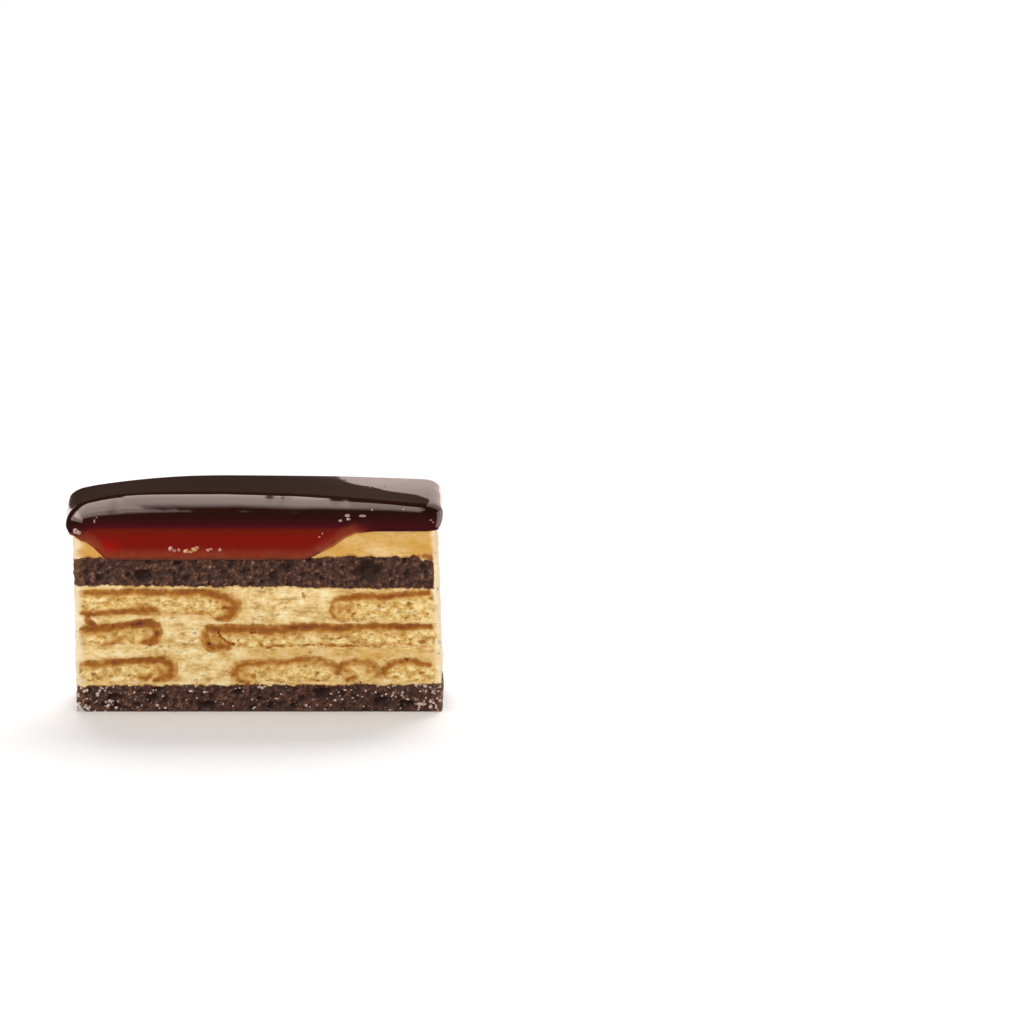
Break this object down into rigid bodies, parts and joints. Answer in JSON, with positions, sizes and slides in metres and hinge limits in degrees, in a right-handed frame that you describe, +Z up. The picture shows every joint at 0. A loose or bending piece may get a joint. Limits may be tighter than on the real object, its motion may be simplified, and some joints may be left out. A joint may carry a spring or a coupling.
{
  "type": "slice of layered caramel cake",
  "caption": "Upright slice of caramel cake: cocoa sponge, cream set with sponge fingers, more sponge and cream, under a thick glossy caramel glaze that has run down the cut faces.",
  "frame": {"origin": "under the middle of the slice, on the surface it stands on", "axes": "+X along the cut face to the right as seen from the front, +Y back into the slice, +Z up; the shown cut face looks towards -Y"},
  "size_m": [0.125, 0.048, 0.0729],
  "materials": {
    "cocoa_sponge": "open dark brown crumb, matt, with small pores and moist glints",
    "caramel_cream": "set pale caramel cream, cut smooth, slightly moist",
    "sponge_finger": "pale open crumb inside a thin browned crust",
    "caramel_glaze": "thick clear jelly-like caramel, high gloss, near black where deep and red where thin"
  },
  "bodies": {
    "root": {"sponge_base": "cocoa_sponge", "cream_filling": "caramel_cream", "finger_top_left": "sponge_finger", "finger_top_right": "sponge_finger", "finger_middle_left": "sponge_finger", "finger_middle_right": "sponge_finger", "finger_low_left": "sponge_finger", "finger_low_middle": "sponge_finger", "finger_low_cross": "sponge_finger", "finger_low_right": "sponge_finger", "sponge_upper": "cocoa_sponge", "cream_top": "caramel_cream", "caramel_glaze": "caramel_glaze"}
  },
  "joints": []
}
